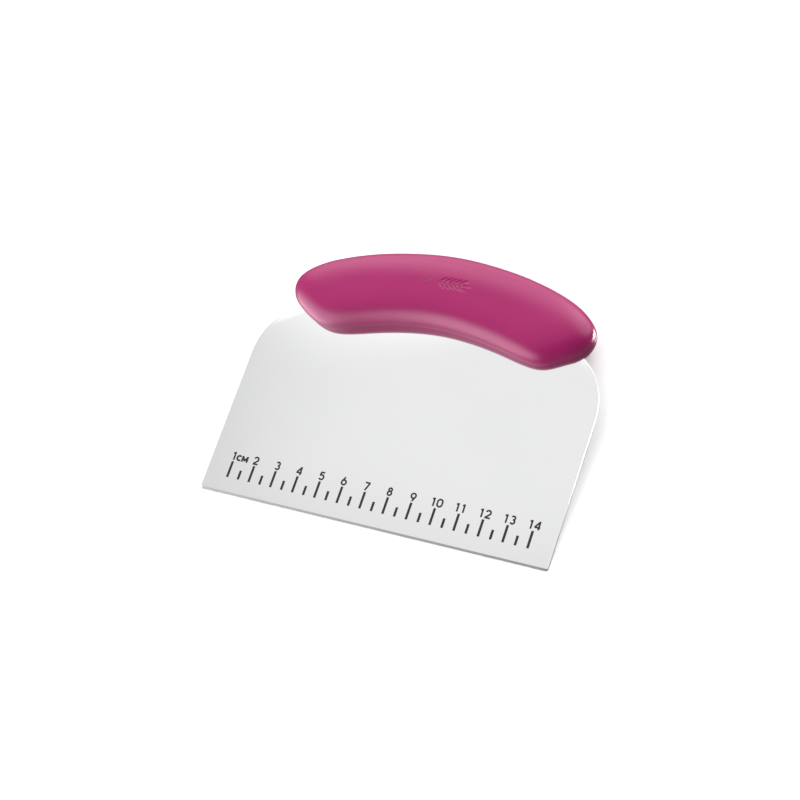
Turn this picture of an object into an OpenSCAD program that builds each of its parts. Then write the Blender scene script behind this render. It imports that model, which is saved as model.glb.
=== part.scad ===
// Bench scraper: a stainless blade with a centimetre scale, held between the two moulded
// halves of an arched handle. It lies on its back: the scale face looks up (+Z), the working
// edge runs along X through the origin, and +Y points from the edge to the handle.
// The blade's mid-plane is z = 0. Millimetres.

/* [Blade] */
// Width of the blade along its working edge
blade_w = 150; // [140:10:160]
// Height of the straight sides
side_h = 60; // [57:1:62]
// Radius of the rounded shoulders
shoulder_r = 28; // [24:1:30]
// Thickness of the steel sheet
blade_t = 0.9; // [0.7:0.1:1.2]
// Height of the ground bevel along the working edge
bevel_h = 0.7; // [0.5:0.1:2]
// Flat land left at the tip of the bevel
edge_land = 0.4; // [0.2:0.1:0.5]
// Radius of the two bottom corners
corner_r = 1; // [0.5:0.5:3]

/* [Tang] */
// Highest point of the tang, inside the handle
tang_top = 103; // [101:1:105]
// Width of the tang
tang_w = 96; // [92:1:100]
// Radius of the three keying holes
key_hole_r = 3.1; // [2.6:0.1:3.5]
// Distance between neighbouring keying holes
key_pitch = 34; // [30:1:36]

/* [Handle] */
// Length of the handle along X
handle_l = 130; // [126:1:134]
// Thickness of the handle at its middle
handle_t = 22; // [20:1:26]
// How far the surface of each half drops from the middle to the ends
end_drop = 1.5; // [0:0.5:2]
// Squareness of the section towards the blade: 2 is an ellipse, more is squarer
lower_power = 3.6; // [2.8:0.1:4]
// Squareness of the section towards the palm
upper_power = 2.3; // [2:0.1:2.8]
// Wall thickness of the two halves
wall = 2.5; // [2:0.1:3]

/* [Inside the handle] */
// Thickness of the ribs that clamp the tang
rib_t = 1.6; // [1.2:0.2:2.4]
// Radius of the pegs that key the tang
peg_r = 3; // [2.5:0.1:3]
// Wall round each peg and socket
boss_wall = 2; // [1.5:0.5:2.5]
// Length of a peg past the tang's front face
peg_l = 5; // [3:0.5:6]

/* [Scale] */
// Height of the marks' lower ends above the working edge
mark_y = 6.5; // [5:0.5:8]
// Length of a centimetre mark
long_mark = 6.8; // [6:0.2:8]
// Length of a half-centimetre mark
half_mark = 3.8; // [3:0.2:5]
// Stroke width of the marks
mark_w = 1; // [0.6:0.05:1.2]
// Thickness of the marks on the face
mark_t = 0.04; // [0.02:0.01:0.1]
// Gap between a centimetre mark and its numeral
numeral_gap = 0.6; // [0.4:0.1:1]

/* [Hidden] */

face_z = blade_t / 2;
over = 1; // how far a cutting body reaches past the face it cuts
fine = 96;

// Colours
STEEL = [0.84, 0.85, 0.86];
MAGENTA = [0.65, 0.20, 0.42];
INK = [0.16, 0.16, 0.17];

// ---------- blade ----------

module both_sides(x, y) {
    for (side = [-1, 1]) translate([side * x, y]) children();
}

// Flat outline of the whole sheet: straight sides, round shoulders, and the tang
module blade_outline() {
    shoulder_x = blade_w / 2 - shoulder_r;
    both_sides(blade_w / 2 - corner_r, corner_r) circle(corner_r, $fn = fine);
    translate([corner_r - blade_w / 2, 0]) square([blade_w - 2 * corner_r, side_h]);
    translate([-blade_w / 2, corner_r]) square([blade_w, side_h - corner_r]);
    both_sides(shoulder_x, side_h) circle(shoulder_r, $fn = fine);
    translate([-shoulder_x, side_h - over]) square([2 * shoulder_x, shoulder_r + over]);
    tang_outline();
}

// The tang's top edge is an arc that follows the arch of the handle
module tang_outline() {
    top_r = 120;
    intersection() {
        translate([0, tang_top - top_r]) circle(top_r, $fn = fine);
        translate([-tang_w / 2, side_h]) square([tang_w, tang_top]);
    }
}

// One bevel's waste: the wedge that grinding takes off the +Z side of the edge
module bevel_waste() {
    drop = (blade_t - edge_land) / 2;
    low_z = face_z - drop * (bevel_h + over) / bevel_h;
    rotate([90, 0, 90])
        linear_extrude(blade_w + 2 * over, center = true)
            polygon([[-over, low_z], [bevel_h, face_z], [bevel_h, face_z + over],
                     [-over, face_z + over]]);
}

module blade() {
    color(STEEL) difference() {
        linear_extrude(blade_t, center = true) blade_outline();
        bevel_waste();
        mirror([0, 0, 1]) bevel_waste();
        for (p = key_points)
            translate(p) cylinder(h = blade_t + over, r = key_hole_r, center = true, $fn = fine);
    }
}

// ---------- handle ----------

// Half of the control polygon of the handle's plan, from top middle round the right-hand end
// to bottom middle. The plan is the closed uniform cubic B-spline of the whole polygon.
half_ctrl = [[0, 115], [20, 113], [35.5, 110], [49.5, 105.5], [58.5, 101], [65.5, 94.5],
             [64.5, 87], [60, 82], [54, 79], [46.5, 75], [30.5, 79.5], [16, 82.5], [0, 84]];
half_n = len(half_ctrl);
ctrl = concat(half_ctrl, [for (i = [half_n - 2:-1:1]) [-half_ctrl[i].x, half_ctrl[i].y]]);
spans = len(ctrl);
steps = 4; // points on each span
plan_n = spans * steps;

// Uniform cubic B-spline between four control points
function spline(a, b, c, d, u) =
    (pow(1 - u, 3) * a + (3 * pow(u, 3) - 6 * u * u + 4) * b
     + (-3 * pow(u, 3) + 3 * u * u + 3 * u + 1) * c + pow(u, 3) * d) / 6;
function ctrl_at(i) = ctrl[(i + spans) % spans];
drawn = [for (i = [0:spans - 1], k = [0:steps - 1])
    spline(ctrl_at(i - 1), ctrl_at(i), ctrl_at(i + 1), ctrl_at(i + 2), k / steps)];
drawn_half = max([for (p = drawn) p.x]);
plan = [for (p = drawn) [p.x / drawn_half * handle_l / 2, p.y]];

// The crest of the handle is a parabola that ends short of its tips
crest_top = 98.5;
crest_fall = 8.5;
crest_share = 0.7;
function crest_at(x) = [x, crest_top - crest_fall * pow(2 * x / crest_share / handle_l, 2)];
function crest_of(p) = crest_at(p.x * crest_share);

// Height of the surface above the blade's mid-plane along the crest
function crest_height(x, inset) = handle_t / 2 - inset - end_drop * pow(2 * x / handle_l, 2);
function rim_point(p, inset) =
    let (c = crest_of(p), reach = norm(p - c)) c + (p - c) * (reach - inset) / reach;

// Squareness of the section that runs from the crest to point p of the plan
function power_to(p) =
    let (out = p - crest_of(p))
    lower_power + (upper_power - lower_power) * (1 + out.y / norm(out)) / 2;

// The surface is a stack of rings round the crest. A ring's angle runs from first_ring at the
// crest to 90 degrees at the rim, where the surface stands upright.
first_ring = 4;
ring_n = 9;
function ring(angle, inset) = [for (p = plan)
    let (c = crest_of(p),
         share = 2 / power_to(p),
         q = c + pow(sin(angle), share) * (rim_point(p, inset) - c))
    [q.x, q.y, crest_height(q.x, inset) * pow(cos(angle), share)]];

// Closed solid between the surface and the mid-plane. The plan isn't convex, so its two flat
// ends are strips that join each point above the crest to its partner below.
module half_form(inset) {
    last = ring_n - 1;
    rings = [for (k = [0:last]) ring(first_ring + (90 - first_ring) * k / last, inset)];
    n = plan_n;
    function at(k, i) = k * n + (i % n + n) % n;
    walls = [for (k = [0:last - 1], i = [0:n - 1]) each [
        [at(k, i), at(k + 1, i + 1), at(k, i + 1)],
        [at(k, i), at(k + 1, i), at(k + 1, i + 1)]]];
    function strip(k, i, side) =
        let (a = at(k, side * i), b = at(k, n / 2 - side * i),
             a2 = at(k, side * (i + 1)), b2 = at(k, n / 2 - side * (i + 1)))
        i == n / 4 - 1 ? [[a, a2, b]] : [[a, b2, b], [a, a2, b2]];
    function flipped(faces) = [for (f = faces) [f[2], f[1], f[0]]];
    function lid(k) = [for (i = [0:n / 4 - 1])
        each concat(strip(k, i, 1), flipped(strip(k, i, -1)))];
    polyhedron(points = [for (r = rings) each r],
               faces = concat(lid(0), walls, flipped(lid(last))));
}

key_below_crest = 3;
socket_room = 0.6; // free depth left above a peg
key_points = [for (k = [-1:1]) [k * key_pitch, crest_at(k * key_pitch).y - key_below_crest, 0]];
rib_xs = [for (k = [-1.5:1.5]) k * key_pitch];

// Ribs and bosses that fill part of the hollow and stop on the tang
module inner_frame() {
    for (x = rib_xs)
        translate([x - rib_t / 2, side_h, face_z]) cube([rib_t, side_h, handle_t]);
    for (p = key_points)
        translate(p) cylinder(h = handle_t, r = peg_r + boss_wall, $fn = fine);
}

// Hollow of a half, with the ribs and bosses left standing
module hollow() {
    difference() {
        half_form(wall);
        inner_frame();
    }
}

// Half the slot that the blade and its tang fill
module blade_slot() {
    translate([0, 0, -over]) linear_extrude(over + face_z) blade_outline();
}

module half_shell() {
    difference() {
        half_form(0);
        hollow();
        blade_slot();
    }
}

module handle_front() {
    color(MAGENTA) difference() {
        half_shell();
        for (p = key_points)
            translate(p - [0, 0, over])
                cylinder(h = over + face_z + peg_l + socket_room, r = peg_r, $fn = fine);
    }
}

module handle_back() {
    color(MAGENTA) {
        mirror([0, 0, 1]) half_shell();
        for (p = key_points)
            translate(p - [0, 0, over])
                cylinder(h = over + face_z + peg_l, r = peg_r, $fn = fine);
    }
}

// ---------- scale ----------

cm = 10;
zero_x = -blade_w / 2;
cm_count = floor(blade_w / cm) - 1;

module tick(x, l) {
    translate([x - mark_w / 2, mark_y, face_z]) cube([mark_w, l, mark_t]);
}

module scale_long_ticks() {
    color(INK) for (n = [1:cm_count]) tick(zero_x + cm * n, long_mark);
}

module scale_half_ticks() {
    color(INK) for (n = [1:cm_count - 1]) tick(zero_x + cm * (n + 0.5), half_mark);
}

// Strokes of the numerals, each in a cell cell_w wide and digit_h tall, foot middle at [0, 0].
// A stroke is a line [x1, y1, x2, y2] or an arc [x, y, r, from, to].
stroke_w = 0.68;
cell_w = 2.5;
digit_h = 3.4;
six = [[0, 1.2, 0.95, 0, 360], [-0.82, 1.68, 0.18, 3.4]];
function turned(strokes) = [for (s = strokes)
    len(s) == 5 ? [-s[0], digit_h - s[1], s[2], s[3], s[4]]
                : [-s[0], digit_h - s[1], -s[2], digit_h - s[3]]];
DIGITS = [
    [[0, 2.15, 1, 0, 180], [0, 1.25, 1, 180, 360], [-1, 1.2, -1, 2.2], [1, 1.2, 1, 2.2]],
    [[0, 0, 0, 3.4], [-0.75, 2.75, -0.05, 3.18]],
    [[0, 2.25, 0.9, -35, 165], [0.8, 1.85, -0.88, 0.3], [-1.1, 0.25, 1.15, 0.25]],
    [[0.05, 2.45, 0.7, -95, 155], [0.05, 1, 0.8, -155, 95]],
    [[0.6, 0, 0.6, 3.4], [0.6, 3.25, -1, 1.05], [-1.15, 0.95, 1.15, 0.95]],
    [[-0.7, 3.15, 0.95, 3.15], [-0.5, 3.2, -0.74, 1.75], [0, 1.2, 0.95, -150, 145]],
    six,
    [[-1, 3.15, 1.1, 3.15], [0.9, 3.1, -0.45, 0]],
    [[0, 2.5, 0.65, 0, 360], [0, 1.05, 0.8, 0, 360]],
    turned(six)
];
LETTER_C = [[0, 1.25, 0.95, 45, 315]];
LETTER_M = [[-1.1, 0, -1.1, 2.5], [1.1, 0, 1.1, 2.5], [-1.05, 2.3, 0, 0.5], [1.05, 2.3, 0, 0.5]];

module stroke(s, w) {
    if (len(s) == 5)
        translate([s[0], s[1], 0]) rotate([0, 0, s[3]])
            rotate_extrude(angle = s[4] - s[3], $fn = fine)
                translate([s[2] - w / 2, 0]) square([w, mark_t]);
    else
        translate([s[0], s[1], 0]) rotate([0, 0, atan2(s[3] - s[1], s[2] - s[0])])
            translate([0, -w / 2, 0]) cube([norm([s[2] - s[0], s[3] - s[1]]), w, mark_t]);
}

module glyph(strokes, w = stroke_w) {
    for (s = strokes) stroke(s, w);
}

numeral_y = mark_y + long_mark + numeral_gap;

module numeral(value) {
    digits = value < 10 ? [value] : [floor(value / 10), value % 10];
    for (i = [0:len(digits) - 1])
        translate([(i - (len(digits) - 1) / 2) * cell_w, 0, 0]) glyph(DIGITS[digits[i]]);
}

module scale_numerals() {
    color(INK) for (n = [1:cm_count])
        translate([zero_x + cm * n, numeral_y, face_z]) numeral(n);
}

// Unit mark, in small capitals right after the 1
module scale_unit_mark() {
    unit_w = 0.74;
    unit_gap = 2.3;
    letter_pitch = 2.6;
    unit_x = zero_x + cm + unit_gap;
    color(INK) {
        translate([unit_x, numeral_y, face_z]) glyph(LETTER_C, unit_w);
        translate([unit_x + letter_pitch, numeral_y, face_z]) glyph(LETTER_M, unit_w);
    }
}

blade();
handle_front();
handle_back();
scale_long_ticks();
scale_half_ticks();
scale_numerals();
scale_unit_mark();
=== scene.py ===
"""Bench scraper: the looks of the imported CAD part, lying scale face up, in metres.

The handle's halves and the blade are rebuilt as dense meshes from the same outline rules as the
CAD part; the marks of the scale are the CAD nodes themselves.
"""
import math
import bpy
import bmesh
from mathutils import Matrix, Vector


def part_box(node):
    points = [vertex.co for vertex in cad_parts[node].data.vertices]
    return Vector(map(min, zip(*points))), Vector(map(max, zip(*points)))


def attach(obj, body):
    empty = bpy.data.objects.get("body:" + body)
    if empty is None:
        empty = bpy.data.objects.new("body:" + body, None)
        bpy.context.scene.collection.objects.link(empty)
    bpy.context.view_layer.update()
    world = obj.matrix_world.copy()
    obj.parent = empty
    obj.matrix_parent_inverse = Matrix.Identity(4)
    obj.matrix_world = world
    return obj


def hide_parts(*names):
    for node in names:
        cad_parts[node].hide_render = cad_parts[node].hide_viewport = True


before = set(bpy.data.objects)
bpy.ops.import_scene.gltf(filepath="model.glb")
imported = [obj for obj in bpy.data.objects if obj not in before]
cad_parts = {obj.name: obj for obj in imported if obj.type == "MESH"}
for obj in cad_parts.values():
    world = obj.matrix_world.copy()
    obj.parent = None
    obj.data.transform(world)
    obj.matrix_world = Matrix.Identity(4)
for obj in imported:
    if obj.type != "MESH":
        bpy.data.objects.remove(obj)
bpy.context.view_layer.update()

MM = 0.001
scene = bpy.context.scene


# ---------- sizes, from the frame where it has them (mm) ----------

def far_corner_mm(node):
    """Highest corner of a CAD node's box, in millimetres."""
    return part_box(node)[1] / MM


blade_hi = far_corner_mm("blade")
front_hi = far_corner_mm("handle_front")
BLADE_HALF = blade_hi.x
FACE_Z = blade_hi.z
HANDLE_HALF = front_hi.x
HANDLE_THICK = front_hi.z
END_DROP = 1.5
LOWER_POWER, UPPER_POWER = 3.6, 2.3
WALL = 2.5

SIDE_H = 60
SHOULDER_R = 28
CORNER_R = 1
BEVEL_H = 0.7
LAND = 0.4
TANG_W = 96
TANG_TOP = blade_hi.y
TANG_ARC_R = 120
TANG_ROOM = 2          # the drawn tang is this much narrower at each side
EDGE_R = 0.12          # broken edges of the sheet
LEAST_CORNER_R = 0.2
CORNER_STEPS, SHOULDER_STEPS, TANG_STEPS = 8, 60, 12


# ---------- handle ----------

# Half of the control polygon of the plan, from top middle round the right end to bottom middle
HALF_CTRL = [(0, 115), (20, 113), (35.5, 110), (49.5, 105.5), (58.5, 101), (65.5, 94.5),
             (64.5, 87), (60, 82), (54, 79), (46.5, 75), (30.5, 79.5), (16, 82.5), (0, 84)]
CTRL = HALF_CTRL + [(-x, y) for x, y in HALF_CTRL[-2:0:-1]]
# Crest, a parabola: place of its middle, how far it falls to the ends, share of the width
CREST_TOP, CREST_FALL, CREST_SHARE = 98.5, 8.5, 0.7


def spline_at(t):
    """Point of the closed uniform cubic B-spline at parameter t, in spans."""
    i, u = int(math.floor(t)), t - math.floor(t)
    weights = ((1 - u) ** 3, 3 * u ** 3 - 6 * u * u + 4,
               -3 * u ** 3 + 3 * u * u + 3 * u + 1, u ** 3)
    pts = [CTRL[(i + j) % len(CTRL)] for j in (-1, 0, 1, 2)]
    return [sum(w * p[k] for w, p in zip(weights, pts)) / 6 for k in (0, 1)]


DRAWN_HALF = max(spline_at(k / 16)[0] for k in range(16 * len(CTRL)))


def plan_at(t):
    """Point of the plan at parameter t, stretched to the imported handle's width."""
    x, y = spline_at(t)
    return Vector((x / DRAWN_HALF * HANDLE_HALF, y))


def crest_of(p):
    """Point of the crest that a point of the plan belongs to."""
    x = p.x * CREST_SHARE
    return Vector((x, CREST_TOP - CREST_FALL * (x / CREST_SHARE / HANDLE_HALF) ** 2))


def power_to(p):
    """Squareness of the section from the crest to a point of the plan."""
    out = p - crest_of(p)
    return LOWER_POWER + (UPPER_POWER - LOWER_POWER) * (1 + out.y / out.length) / 2


def surface(p, share, inset):
    """Point of a half's surface: at a share of the way from the crest (0) to the rim (1)."""
    c = crest_of(p)
    reach = (p - c).length
    q = c + (p - c) * share * (reach - inset) / reach
    height = HANDLE_THICK - inset - END_DROP * (q.x / HANDLE_HALF) ** 2
    power = power_to(p)
    return Vector((q.x, q.y, height * max(1 - share ** power, 0.0) ** (1 / power)))


def in_blade(p):
    """Is a point of the plan over the steel sheet?"""
    shoulder_x = BLADE_HALF - SHOULDER_R
    if p.y <= SIDE_H:
        return abs(p.x) <= BLADE_HALF
    if abs(p.x) > shoulder_x:
        return math.hypot(abs(p.x) - shoulder_x, p.y - SIDE_H) <= SHOULDER_R
    return p.y <= SIDE_H + SHOULDER_R


def ease(x):
    """Smooth step from 0 to 1 as x goes from 0 to 1."""
    x = min(max(x, 0.0), 1.0)
    return x * x * (3 - 2 * x)


# Debossed ear of wheat in the middle of the front half: a stem, and grains (x, y, turn) in
# pairs with one more at the tip
EAR_X, EAR_Y = 3.0, 99.4
EAR_DEPTH, EAR_REACH = 0.28, 4
GRAIN_L, GRAIN_W = 1.85, 0.62
TIP_X = 9.0
PAIRS, PAIR_X0, PAIR_STEP, PAIR_OUT, PAIR_TURN = 5, -1.0, 2.1, 1.35, 34.0
GRAINS = [(TIP_X, EAR_Y, 0.0)]
GRAINS += [(PAIR_X0 + PAIR_STEP * k, EAR_Y + side * PAIR_OUT, side * PAIR_TURN)
           for k in range(PAIRS) for side in (1, -1)]
STEM_X0, STEM_X1, STEM_HALF = -10.5, 7.5, 0.3
PRESS_SLOPE = 0.35   # width of the sloping border of what is pressed in


def ear_depth(x, y):
    """How deep the ear of wheat is pressed in at a point of the plan."""
    x -= EAR_X
    if abs(y - EAR_Y) > EAR_REACH:
        return 0.0
    nearest = min(max(x, STEM_X0), STEM_X1)
    from_stem = math.hypot(x - nearest, y - EAR_Y)
    depth = ease((STEM_HALF - from_stem) / PRESS_SLOPE + 0.5)
    for gx, gy, turn in GRAINS:
        a = math.radians(turn)
        dx, dy = x - gx, y - gy
        u = (dx * math.cos(a) + dy * math.sin(a)) / GRAIN_L
        v = (-dx * math.sin(a) + dy * math.cos(a)) / GRAIN_W
        depth = max(depth, ease((1 - math.hypot(u, v)) * GRAIN_W / PRESS_SLOPE + 0.3))
    return depth * EAR_DEPTH


def mesh_object(name, verts, faces, smooth_deg):
    """Mesh from points in millimetres, shaded smooth over edges below smooth_deg."""
    me = bpy.data.meshes.new(name)
    me.from_pydata([v * MM for v in verts], [], faces)
    me.update()
    bm = bmesh.new()
    bm.from_mesh(me)
    bmesh.ops.recalc_face_normals(bm, faces=bm.faces)
    limit = math.radians(smooth_deg)
    for f in bm.faces:
        f.smooth = True
    for e in bm.edges:
        e.smooth = not e.is_manifold or e.calc_face_angle(0) < limit
    bm.to_mesh(me)
    bm.free()
    ob = bpy.data.objects.new(name, me)
    scene.collection.objects.link(ob)
    return ob


FINE_STEP, COARSE_STEP = 1 / 160, 1 / 16
FINE_HALF = 0.75       # spans on each side of a middle
BISECTIONS = 30        # to find a crossing
CROSSING_GAP = 0.002   # from a crossing to each of its two columns


def plan_parameters(fine):
    """Parameters round the plan, closer at the middle of both long sides where fine, with a
    pair of them wherever the outline crosses the edge of the blade."""
    spans = len(CTRL)
    ts = []
    t = 0.0
    while t < spans - 1e-6:
        ts.append(t)
        from_middle = min(t, spans - t, abs(t - spans / 2))
        t += FINE_STEP if fine and from_middle < FINE_HALF else COARSE_STEP
    crossings = []
    for t0, t1 in zip(ts, ts[1:]):
        if in_blade(plan_at(t0)) != in_blade(plan_at(t1)):
            for _ in range(BISECTIONS):
                mid = (t0 + t1) / 2
                if in_blade(plan_at(mid)) == in_blade(plan_at(t0)):
                    t0 = mid
                else:
                    t1 = mid
            crossings += [t0 - CROSSING_GAP, t1 + CROSSING_GAP]
    return sorted(ts + crossings)


SQUEEZE_Z = 1.2                    # below this the surface is fitted to the blade's face
GROOVE_IN, GROOVE_Z = 0.12, 0.25   # parting line between the halves, beyond the blade
LOW_Z = 0.7                        # one more ring between the two
WALL_Z = 2.0                       # height where the evenly turning rings end
FIRST_SHARE = 0.003                # ring closest to the crest
# Evenly spaced rings round the crest: how many, and how many would reach the rim
FINE_RINGS, COARSE_RINGS = (46, 100), (7, 16)
TURNING_RINGS = 24
INNER_RINGS = 14
INNER_POWER = 0.7
HANDLE_SMOOTH_DEG = 40


def seated(z, rim_z):
    """Height z with the lowest part squeezed upwards, so that 0 becomes rim_z."""
    return z if z >= SQUEEZE_Z else rim_z + z * (SQUEEZE_Z - rim_z) / SQUEEZE_Z


def ring_shares(p, fine):
    """Shares of the rings on the way from the crest to just above the rim at p."""
    count, to_rim = FINE_RINGS if fine else COARSE_RINGS
    shares = [FIRST_SHARE] + [k / to_rim for k in range(1, count + 1)]
    power = power_to(p)

    def share_at(z):
        return (1 - (z / HANDLE_THICK) ** power) ** (1 / power)

    first, last = (math.asin(share ** (power / 2)) for share in (shares[-1], share_at(WALL_Z)))
    shares += [math.sin(first + (last - first) * k / TURNING_RINGS) ** (2 / power)
               for k in range(1, TURNING_RINGS + 1)]
    return shares + [share_at(z) for z in (SQUEEZE_Z, LOW_Z, GROOVE_Z)] + [1.0]


def crest_strip(ring):
    """Triangles that close the narrow first ring along the crest."""
    n = len(ring)
    first = min(range(n), key=lambda i: ring[i].x)
    last = max(range(n), key=lambda i: ring[i].x)
    upper = [(first + k) % n for k in range((last - first) % n + 1)]
    lower = [(first - k) % n for k in range((first - last) % n + 1)]
    faces = []
    while len(upper) > 1 or len(lower) > 1:
        if len(lower) == 1 or (len(upper) > 1 and ring[upper[1]].x < ring[lower[1]].x):
            corners = (upper[0], upper[1], lower[0])
            upper = upper[1:]
        else:
            corners = (upper[0], lower[1], lower[0])
            lower = lower[1:]
        if len(set(corners)) == 3:
            faces.append(corners)
    return faces


def half_shell(name, side, ear):
    """One half of the handle as a closed hollow shell: side is 1 for the front half and -1
    for the back half, ear says whether the ear of wheat is pressed in."""
    plan = [plan_at(t) for t in plan_parameters(ear)]
    n = len(plan)
    outer = [ring_shares(p, ear) for p in plan]
    layers = [(k, 0.0) for k in range(len(outer[0]))]
    layers += [(math.sin(math.pi / 2 * k / INNER_RINGS) ** INNER_POWER, WALL)
               for k in range(INNER_RINGS, 0, -1)]
    rings = []
    for layer, inset in layers:
        for i, p in enumerate(plan):
            v = surface(p, outer[i][layer] if inset == 0.0 else layer, inset)
            over_blade = in_blade(p)
            if ear and inset == 0.0:
                v.z -= ear_depth(v.x, v.y)
            if inset == 0.0 and not over_blade and v.z < GROOVE_Z / 2:
                v -= (p - crest_of(p)).normalized().to_3d() * GROOVE_IN
            v.z = side * seated(v.z, FACE_Z if over_blade else 0.0)
            rings.append(v)
    faces = []
    for k in range(len(layers) - 1):
        for i in range(n):
            j = (i + 1) % n
            faces.append((k * n + i, k * n + j, (k + 1) * n + j, (k + 1) * n + i))
    faces += crest_strip(rings[:n])
    faces.append(tuple((len(layers) - 1) * n + i for i in range(n)))
    return mesh_object(name, rings, faces, HANDLE_SMOOTH_DEG)


handle_front = half_shell("grip_front", 1, True)
handle_back = half_shell("grip_back", -1, False)


# ---------- blade ----------

BLADE_SMOOTH_DEG = 25


def blade_outline(side_in, edge_in):
    """Outline of the sheet, its sides moved in by side_in and its working edge by edge_in."""
    pts = []
    rx = CORNER_R - side_in
    ry = max(CORNER_R - edge_in, LEAST_CORNER_R)
    cx, cy = BLADE_HALF - CORNER_R, edge_in + ry
    for k in range(CORNER_STEPS + 1):
        a = math.radians(-90 + 90 * k / CORNER_STEPS)
        pts.append((cx + rx * math.cos(a), cy + ry * math.sin(a)))
    sx = BLADE_HALF - SHOULDER_R
    r = SHOULDER_R - side_in
    for k in range(SHOULDER_STEPS + 1):
        a = math.radians(90 * k / SHOULDER_STEPS)
        pts.append((sx + r * math.cos(a), SIDE_H + r * math.sin(a)))
    tang_half = TANG_W / 2 - TANG_ROOM - side_in
    arc_r = TANG_ARC_R - side_in
    top_a = math.asin(tang_half / arc_r)
    pts.append((tang_half, SIDE_H + r))
    for k in range(TANG_STEPS + 1):
        a = top_a * (1 - k / TANG_STEPS)
        pts.append((arc_r * math.sin(a), TANG_TOP - TANG_ARC_R + arc_r * math.cos(a)))
    return pts + [(-x, y) for x, y in reversed(pts[:-1])]


def make_blade():
    """The sheet, with broken edges and a ground bevel on both faces of the working edge."""
    drop = FACE_Z - LAND / 2

    def bevel_y(z):
        return BEVEL_H * (1 - (FACE_Z - z) / drop)

    half = [(FACE_Z, EDGE_R, bevel_y(FACE_Z))]
    for deg in (30, 60, 90):
        a = math.radians(deg)
        z = FACE_Z - EDGE_R * (1 - math.cos(a))
        half.append((z, EDGE_R * (1 - math.sin(a)), bevel_y(z)))
    half.append((LAND / 2, 0.0, 0.0))
    levels = half + [(-z, s, e) for z, s, e in reversed(half)]
    loops = [[Vector((x, y, z)) for x, y in blade_outline(s, e)] for z, s, e in levels]
    n = len(loops[0])
    verts = [v for loop in loops for v in loop]
    faces = []
    for k in range(len(loops) - 1):
        for i in range(n):
            j = (i + 1) % n
            faces.append((k * n + i, k * n + j, (k + 1) * n + j, (k + 1) * n + i))
    faces.append(tuple(range(n - 1, -1, -1)))
    faces.append(tuple((len(loops) - 1) * n + i for i in range(n)))
    return mesh_object("sheet_blade", verts, faces, BLADE_SMOOTH_DEG)


blade = make_blade()


# ---------- materials ----------

PLASTIC_DEEP, PLASTIC_LIGHT = (0.262, 0.0080, 0.088), (0.284, 0.0094, 0.096)
STEEL_DEEP, STEEL_LIGHT = (0.80, 0.805, 0.81), (0.83, 0.83, 0.835)
# Ground bevel colours are painted shade: much darker than the steel, they stand in for the dark
# shadow line along the working edge
GROUND_PAINTED_SHADE_DEEP, GROUND_PAINTED_SHADE_LIGHT = (0.16, 0.16, 0.17), (0.30, 0.30, 0.31)
INK_DEEP, INK_LIGHT, INK_WORN = (0.010, 0.010, 0.011), (0.024, 0.024, 0.026), (0.09, 0.09, 0.09)
FLOOR_DEEP, FLOOR_LIGHT = (0.90, 0.90, 0.90), (0.93, 0.93, 0.93)

# Least and greatest roughness, and what wear adds to it
PLASTIC_ROUGH, SCUFF_ROUGH = (0.275, 0.305), 0.08
STEEL_ROUGH, HAIR_ROUGH, GROUND_ROUGH = (0.045, 0.085), 0.10, 0.22
INK_ROUGH = (0.42, 0.6)
FLOOR_ROUGH = 0.7

# Ground bevel: its soft border (mm), and how much its painted shade, a dark colour standing in
# for the shadow line along the working edge, covers the polish
GROUND_FADE, GROUND_SHADE_COVER = 0.02, 0.85

# How gradually a scratch sets in, as a range of the noise it comes from
HAIR_FADE = 0.05

# Gloss of the dielectrics
PLASTIC_IOR, PLASTIC_SPECULAR, INK_SPECULAR = 1.5, 0.30, 0.2


def material(name):
    """A new material, its node tree and its Principled BSDF."""
    m = bpy.data.materials.new(name)
    m.use_nodes = True
    nt = m.node_tree
    return m, nt, nt.nodes["Principled BSDF"]


def node(nt, kind, **settings):
    """A new node of a kind, with its settings."""
    n = nt.nodes.new(kind)
    for key, value in settings.items():
        setattr(n, key, value)
    return n


def object_coords(nt, scale=(1, 1, 1)):
    """Object coordinates in millimetres, stretched by scale."""
    co = node(nt, "ShaderNodeTexCoord")
    mp = node(nt, "ShaderNodeMapping")
    mp.inputs["Scale"].default_value = [1 / MM * s for s in scale]
    nt.links.new(co.outputs["Object"], mp.inputs["Vector"])
    return mp.outputs["Vector"]


def noise(nt, vector, scale, detail, roughness=0.5):
    """Noise from 0 to 1, scale in repeats per millimetre."""
    n = node(nt, "ShaderNodeTexNoise")
    n.inputs["Scale"].default_value = scale
    n.inputs["Detail"].default_value = detail
    n.inputs["Roughness"].default_value = roughness
    nt.links.new(vector, n.inputs["Vector"])
    return n.outputs["Fac"]


def remap(nt, value, lo, hi):
    """A value from 0 to 1, stretched to run from lo to hi."""
    n = node(nt, "ShaderNodeMapRange")
    n.inputs["To Min"].default_value = lo
    n.inputs["To Max"].default_value = hi
    nt.links.new(value, n.inputs["Value"])
    return n.outputs["Result"]


def bump(nt, height, strength, distance_mm, under=None):
    """Normal raised by a height, on top of the bump under it."""
    n = node(nt, "ShaderNodeBump")
    n.inputs["Strength"].default_value = strength
    n.inputs["Distance"].default_value = distance_mm * MM
    nt.links.new(height, n.inputs["Height"])
    if under is not None:
        nt.links.new(under, n.inputs["Normal"])
    return n.outputs["Normal"]


def blend_colours(nt, factor, a, b):
    """Colour a where the factor is 0, b where it is 1."""
    n = node(nt, "ShaderNodeMix", data_type="RGBA")
    n.inputs[6].default_value = (*a, 1)
    n.inputs[7].default_value = (*b, 1)
    nt.links.new(factor, n.inputs[0])
    return n.outputs[2]


def threshold(nt, value, lo, hi):
    """0 below lo, 1 above hi."""
    n = node(nt, "ShaderNodeMapRange", interpolation_type="SMOOTHSTEP")
    n.inputs["From Min"].default_value = lo
    n.inputs["From Max"].default_value = hi
    nt.links.new(value, n.inputs["Value"])
    return n.outputs["Result"]


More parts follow.
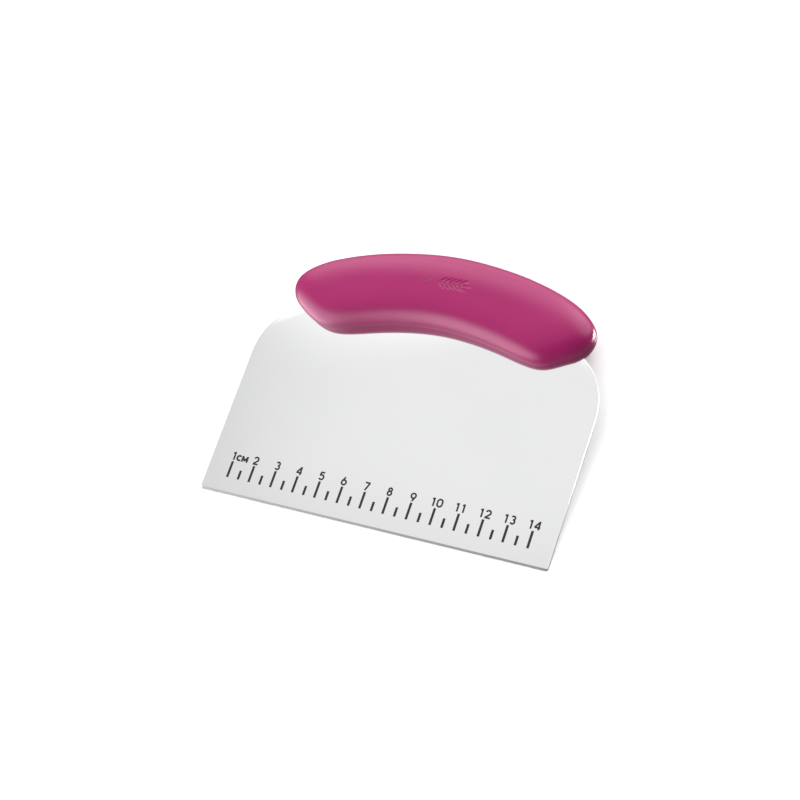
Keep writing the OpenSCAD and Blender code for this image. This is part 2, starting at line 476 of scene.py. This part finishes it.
def combine(nt, operation, a, b):
    """Maths on two values, b a socket or a number."""
    n = node(nt, "ShaderNodeMath", operation=operation)
    nt.links.new(a, n.inputs[0])
    if isinstance(b, (int, float)):
        n.inputs[1].default_value = b
    else:
        nt.links.new(b, n.inputs[1])
    return n.outputs["Value"]


def scratches(nt, stretch, turn_deg, scale, lo):
    """Sparse hairlines: a noise drawn out along one direction, only its peaks kept."""
    co = node(nt, "ShaderNodeTexCoord")
    turned = node(nt, "ShaderNodeVectorRotate", rotation_type="Z_AXIS")
    turned.inputs["Angle"].default_value = math.radians(turn_deg)
    nt.links.new(co.outputs["Object"], turned.inputs["Vector"])
    mp = node(nt, "ShaderNodeMapping")
    mp.inputs["Scale"].default_value = [stretch / MM, 1 / MM, 1 / MM]
    nt.links.new(turned.outputs["Vector"], mp.inputs["Vector"])
    return threshold(nt, noise(nt, mp.outputs["Vector"], scale, detail=1),
                     lo, lo + HAIR_FADE)


def plastic():
    """Satin moulded plastic: faint mottling, fine grain, a few hairline scuffs."""
    m, nt, bsdf = material("satin_magenta_plastic")
    co = object_coords(nt)
    colour = blend_colours(nt, noise(nt, co, scale=0.06, detail=2), PLASTIC_DEEP, PLASTIC_LIGHT)
    nt.links.new(colour, bsdf.inputs["Base Color"])
    scuffs = scratches(nt, stretch=0.06, turn_deg=24, scale=1.1, lo=0.72)
    rough = remap(nt, noise(nt, co, scale=0.05, detail=1), *PLASTIC_ROUGH)
    rough = combine(nt, "ADD", rough, combine(nt, "MULTIPLY", scuffs, SCUFF_ROUGH))
    nt.links.new(rough, bsdf.inputs["Roughness"])
    grain = bump(nt, noise(nt, co, scale=2.2, detail=1), strength=0.25, distance_mm=0.012)
    worn = bump(nt, scuffs, strength=0.2, distance_mm=-0.01, under=grain)
    nt.links.new(worn, bsdf.inputs["Normal"])
    bsdf.inputs["IOR"].default_value = PLASTIC_IOR
    bsdf.inputs["Specular IOR Level"].default_value = PLASTIC_SPECULAR
    return m


def steel():
    """Polished stainless sheet: faint lengthwise polish lines, hairline scratches, and a
    rougher ground bevel along the working edge, coloured dark as painted shade for the shadow
    line there."""
    m, nt, bsdf = material("polished_stainless")
    co = object_coords(nt)
    streak = noise(nt, object_coords(nt, (0.02, 1.0, 1.0)), scale=4.0, detail=3, roughness=0.6)
    cross = noise(nt, object_coords(nt, (1.0, 0.05, 1.0)), scale=5.0, detail=2)
    axes = node(nt, "ShaderNodeSeparateXYZ")
    nt.links.new(co, axes.inputs["Vector"])
    ground = threshold(nt, combine(nt, "MULTIPLY", axes.outputs["Y"], -1.0),
                       -BEVEL_H - GROUND_FADE, -BEVEL_H + GROUND_FADE)
    hair = combine(nt, "MAXIMUM", scratches(nt, stretch=0.03, turn_deg=12, scale=1.6, lo=0.74),
                   scratches(nt, stretch=0.04, turn_deg=-31, scale=1.4, lo=0.75))
    colour = blend_colours(nt, noise(nt, co, scale=0.03, detail=2), STEEL_DEEP, STEEL_LIGHT)
    # Painted shade: over the polish colour, the ground bevel gets a dark colour that stands in
    # for the shadow line along the working edge
    worn = node(nt, "ShaderNodeMix", data_type="RGBA")
    nt.links.new(combine(nt, "MULTIPLY", ground, GROUND_SHADE_COVER), worn.inputs[0])
    nt.links.new(colour, worn.inputs[6])
    nt.links.new(blend_colours(nt, cross, GROUND_PAINTED_SHADE_DEEP, GROUND_PAINTED_SHADE_LIGHT), worn.inputs[7])
    nt.links.new(worn.outputs[2], bsdf.inputs["Base Color"])
    bsdf.inputs["Metallic"].default_value = 1.0
    rough = remap(nt, streak, *STEEL_ROUGH)
    rough = combine(nt, "ADD", rough, combine(nt, "MULTIPLY", hair, HAIR_ROUGH))
    rough = combine(nt, "ADD", rough, combine(nt, "MULTIPLY", ground, GROUND_ROUGH))
    nt.links.new(rough, bsdf.inputs["Roughness"])
    lines = bump(nt, streak, strength=0.04, distance_mm=0.006)
    scored = bump(nt, hair, strength=0.15, distance_mm=-0.004, under=lines)
    nt.links.new(scored, bsdf.inputs["Normal"])
    return m


def marking():
    """Etched dark marking with a slightly uneven tone and tiny worn spots."""
    m, nt, bsdf = material("dark_marking")
    co = object_coords(nt)
    speck = noise(nt, co, scale=3.0, detail=2)
    worn = threshold(nt, noise(nt, co, scale=6.0, detail=1), lo=0.70, hi=0.80)
    colour = blend_colours(nt, speck, INK_DEEP, INK_LIGHT)
    faded = node(nt, "ShaderNodeMix", data_type="RGBA")
    nt.links.new(worn, faded.inputs[0])
    nt.links.new(colour, faded.inputs[6])
    faded.inputs[7].default_value = (*INK_WORN, 1)
    nt.links.new(faded.outputs[2], bsdf.inputs["Base Color"])
    nt.links.new(remap(nt, speck, *INK_ROUGH), bsdf.inputs["Roughness"])
    nt.links.new(bump(nt, speck, strength=0.2, distance_mm=0.01), bsdf.inputs["Normal"])
    bsdf.inputs["Specular IOR Level"].default_value = INK_SPECULAR
    return m


def paint(ob, mat):
    """Gives an object one material."""
    ob.data.materials.clear()
    ob.data.materials.append(mat)


plastic_mat, steel_mat, marking_mat = plastic(), steel(), marking()
for piece in (handle_front, handle_back):
    paint(piece, plastic_mat)
    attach(piece, "root")
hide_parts("handle_front")
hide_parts("handle_back")
paint(blade, steel_mat)
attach(blade, "root")
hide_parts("blade")
for name in ("scale_long_ticks", "scale_half_ticks", "scale_numerals", "scale_unit_mark"):
    paint(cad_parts[name], marking_mat)


# ---------- camera ----------

def aim(ob, at, target, up):
    """Puts an object at a point, looking along its -Z at the target with +Y towards up."""
    at, target = Vector(at), Vector(target)
    back = (at - target).normalized()
    right = Vector(up).cross(back).normalized()
    turn = Matrix((right, back.cross(right), back)).transposed()
    ob.matrix_world = Matrix.Translation(at) @ turn.to_4x4()


LENS_MM = 77.7
CAMERA_AT = (0.2872, -0.1318, 0.5746)
CAMERA_TARGET = (-0.0041, 0.0523, 0.0002)
CAMERA_UP = (-0.1798, 0.9066, 0.3817)

camera = bpy.data.objects.new("camera", bpy.data.cameras.new("camera"))
scene.collection.objects.link(camera)
camera.data.lens = LENS_MM
aim(camera, CAMERA_AT, CAMERA_TARGET, CAMERA_UP)
scene.camera = camera


# ---------- floor and light ----------

FLOOR_HALF = 3.0


def make_floor():
    """A pale plane that touches the working edge and the back of the handle."""
    lean = max((-LAND / 2 * MM - v.co.z) / v.co.y for v in handle_back.data.vertices)
    me = bpy.data.meshes.new("floor")
    bm = bmesh.new()
    corners = [(FLOOR_HALF * x, FLOOR_HALF * y) for x, y in ((-1, -1), (1, -1), (1, 1), (-1, 1))]
    bm.faces.new([bm.verts.new((x, y, -LAND / 2 * MM - lean * y)) for x, y in corners])
    bm.to_mesh(me)
    bm.free()
    ob = bpy.data.objects.new("floor", me)
    scene.collection.objects.link(ob)
    m, nt, bsdf = material("pale_floor")
    tone = noise(nt, object_coords(nt), scale=0.01, detail=3)
    nt.links.new(blend_colours(nt, tone, FLOOR_DEEP, FLOOR_LIGHT), bsdf.inputs["Base Color"])
    bsdf.inputs["Roughness"].default_value = FLOOR_ROUGH
    paint(ob, m)
    ob.visible_glossy = False
    ob.visible_diffuse = False


make_floor()


# Least radiance as light, and what is added to it in reflections and behind the object
LIGHT_LEAST, REFLECTION_LEAST, BACKGROUND_LEAST = 0.02, 0.33, 1.0
# Radiance everywhere, and the regions that change it: direction, angles (degrees) up to which
# a region is full and at which it has faded, change of radiance
WORLD_BASE = 0.30
WORLD_REGIONS = [
    ((-0.28, 0.93, 0.22), 12, 48, 2.05),      # broad bank behind the top of the handle
    ((-0.28, 0.95, -0.10), 8, 35, -0.50),     # its shaded lower border
    ((-0.45, 0.70, 0.50), 8, 28, 0.62),       # its upper border
    ((-0.22, 0.34, 0.91), 10, 46, 0.30),      # bright ceiling, mirrored by the blade
    ((-0.40, 0.25, 0.85), 25, 70, 0.41),      # wide glow round it
    ((-0.72, -0.69, 0.05), 18, 52, 5.8),      # long low bank in front of the working edge
    ((-0.66, -0.66, -0.35), 10, 45, 1.2),     # its lower part
    ((0.55, -0.72, 0.42), 30, 56, -0.28),     # dark corner at the right in front
    ((0.60, 0.75, 0.28), 15, 50, 3.5),        # bank at the right behind
    ((-0.40, 0.50, -0.77), 20, 50, -0.25),    # shade under the handle's back
    ((0.51, 0.36, -0.78), 4, 11, 16.0),       # gleam low on the right
    ((0.36, 0.49, -0.79), 4, 11, 16.0),       # and its upper end
]


def make_world():
    """Soft studio light: the base, the regions, and a lower limit by kind of ray."""
    world = bpy.data.worlds.new("studio")
    scene.world = world
    world.use_nodes = True
    nt = world.node_tree
    direction = node(nt, "ShaderNodeTexCoord").outputs["Generated"]
    total = None
    for toward, full, faded, change in WORLD_REGIONS:
        dot = node(nt, "ShaderNodeVectorMath", operation="DOT_PRODUCT")
        dot.inputs[1].default_value = Vector(toward).normalized()
        nt.links.new(direction, dot.inputs[0])
        fade = node(nt, "ShaderNodeMapRange", interpolation_type="SMOOTHSTEP")
        fade.inputs["From Min"].default_value = math.cos(math.radians(faded))
        fade.inputs["From Max"].default_value = math.cos(math.radians(full))
        fade.inputs["To Max"].default_value = change
        nt.links.new(dot.outputs["Value"], fade.inputs["Value"])
        add = node(nt, "ShaderNodeMath", operation="ADD")
        add.inputs[1].default_value = WORLD_BASE
        if total is not None:
            nt.links.new(total, add.inputs[1])
        nt.links.new(fade.outputs["Result"], add.inputs[0])
        total = add.outputs["Value"]
    background = nt.nodes["Background"]
    background.inputs["Color"].default_value = (1, 1, 1, 1)
    path = node(nt, "ShaderNodeLightPath")
    darkest = None
    for ray, least in (("Is Glossy Ray", REFLECTION_LEAST), ("Is Camera Ray", BACKGROUND_LEAST)):
        step = node(nt, "ShaderNodeMath", operation="MULTIPLY_ADD")
        nt.links.new(path.outputs[ray], step.inputs[0])
        step.inputs[1].default_value = least
        step.inputs[2].default_value = LIGHT_LEAST
        if darkest is not None:
            nt.links.new(darkest, step.inputs[2])
        darkest = step.outputs["Value"]
    lowest = node(nt, "ShaderNodeMath", operation="MAXIMUM")
    nt.links.new(total, lowest.inputs[0])
    nt.links.new(darkest, lowest.inputs[1])
    nt.links.new(lowest.outputs["Value"], background.inputs["Strength"])


make_world()
scene.view_settings.view_transform = "Standard"
